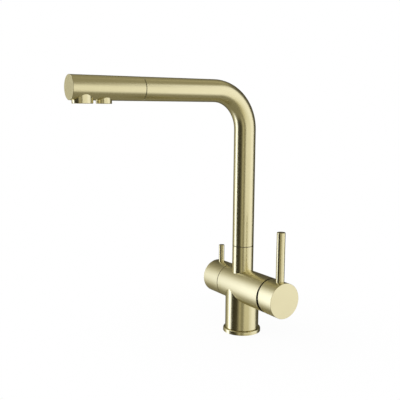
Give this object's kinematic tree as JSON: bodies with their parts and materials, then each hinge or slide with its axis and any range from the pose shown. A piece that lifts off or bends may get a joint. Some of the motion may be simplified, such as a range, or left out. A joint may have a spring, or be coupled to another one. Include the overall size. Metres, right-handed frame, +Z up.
{
  "type": "kitchen mixer tap",
  "caption": "Kitchen mixer tap with a swivelling L-shaped spout, a pull-out head with mixed and filtered outlets, and a pin-lever knob on each side.",
  "frame": {"origin": "centre of the base ring's underside, on the worktop, where the column's axis meets it", "axes": "+Z up along the column, -Y along the level spout towards the user, +X towards the mixer handle"},
  "size_m": [0.1473, 0.263, 0.3315],
  "materials": {
    "brushed_gold": "brushed, pale gold",
    "raw_brass": "turned",
    "steel": "turned",
    "ceramic": "lapped",
    "white_plastic": "moulded",
    "grey_plastic": "moulded",
    "rubber": "moulded",
    "black_plastic": "moulded",
    "hose_braid": "braided nylon sheath"
  },
  "bodies": {
    "tap": {"tap_body": "brushed_gold", "base_ring": "brushed_gold", "base_seal": "rubber", "hose_guide": "white_plastic", "mixer_seals": "rubber", "mixer_cartridge_base": "white_plastic", "mixer_fixed_disc": "ceramic", "mixer_cartridge_housing": "grey_plastic", "mixer_cartridge_nut": "raw_brass", "mixer_cover_ring": "black_plastic", "filter_seals": "rubber", "filter_cartridge_base": "white_plastic", "filter_fixed_disc": "ceramic", "filter_cartridge_housing": "grey_plastic", "filter_cartridge_nut": "raw_brass", "filter_stem_seal": "rubber", "swivel_washer": "black_plastic", "spout_retaining_screw": "steel"},
    "mixer_guide": {"spindle_guide": "white_plastic", "spindle_pivot_pin": "steel"},
    "mixer_slide": {"mixer_disc_carrier": "white_plastic", "mixer_moving_disc": "ceramic"},
    "mixer_handle": {"mixer_spindle": "steel", "mixer_knob": "brushed_gold", "mixer_lever": "brushed_gold", "mixer_knob_screw": "steel"},
    "filter_handle": {"filter_stem": "raw_brass", "filter_moving_disc": "ceramic", "filter_knob": "brushed_gold", "filter_lever": "brushed_gold", "filter_knob_screw": "steel"},
    "spout": {"spout_tube": "brushed_gold", "swivel_spigot": "raw_brass", "swivel_slide_rings": "white_plastic", "swivel_friction_ring": "rubber", "docking_collar": "grey_plastic", "spout_hose": "hose_braid", "spout_filter_tube": "white_plastic"},
    "pull_out_head": {"head_shell": "brushed_gold", "head_core": "grey_plastic", "head_seals": "rubber", "hose_nipple": "raw_brass", "hose_crimp_sleeve": "steel", "head_hose": "hose_braid", "head_filter_tube": "white_plastic", "main_aerator_housing": "raw_brass", "main_aerator_insert": "white_plastic", "main_aerator_washer": "rubber", "filter_outlet_housing": "raw_brass", "filter_outlet_insert": "white_plastic", "filter_outlet_washer": "rubber"}
  },
  "joints": [
    {"name": "spout_swivel", "type": "hinge", "parent": "tap", "child": "spout", "pos_m": [0, 0, 0.1165], "axis": [0, 0, 1], "range_deg": [-180, 180]},
    {"name": "head_pull_out", "type": "slide", "parent": "spout", "child": "pull_out_head", "axis": [0, -1, 0], "range_m": [0, 0.09]},
    {"name": "mixer_temperature", "type": "hinge", "parent": "tap", "child": "mixer_guide", "pos_m": [0.05, 0, 0.0623], "axis": [1, 0, 0], "range_deg": [-50, 50]},
    {"name": "mixer_flow", "type": "hinge", "parent": "mixer_guide", "child": "mixer_handle", "pos_m": [0.05, 0, 0.0623], "axis": [0, 1, 0], "range_deg": [0, 15]},
    {"name": "mixer_disc_slide", "type": "slide", "parent": "mixer_guide", "child": "mixer_slide", "axis": [0, 0, 1], "range_m": [0, 0.0027]},
    {"name": "filter_turn", "type": "hinge", "parent": "tap", "child": "filter_handle", "pos_m": [-0.045, 0, 0.0623], "axis": [1, 0, 0], "range_deg": [0, 90]}
  ],
  "couplings": [
    {"joint": "mixer_disc_slide", "follows": "mixer_flow", "m_per_rad": 0.01}
  ]
}
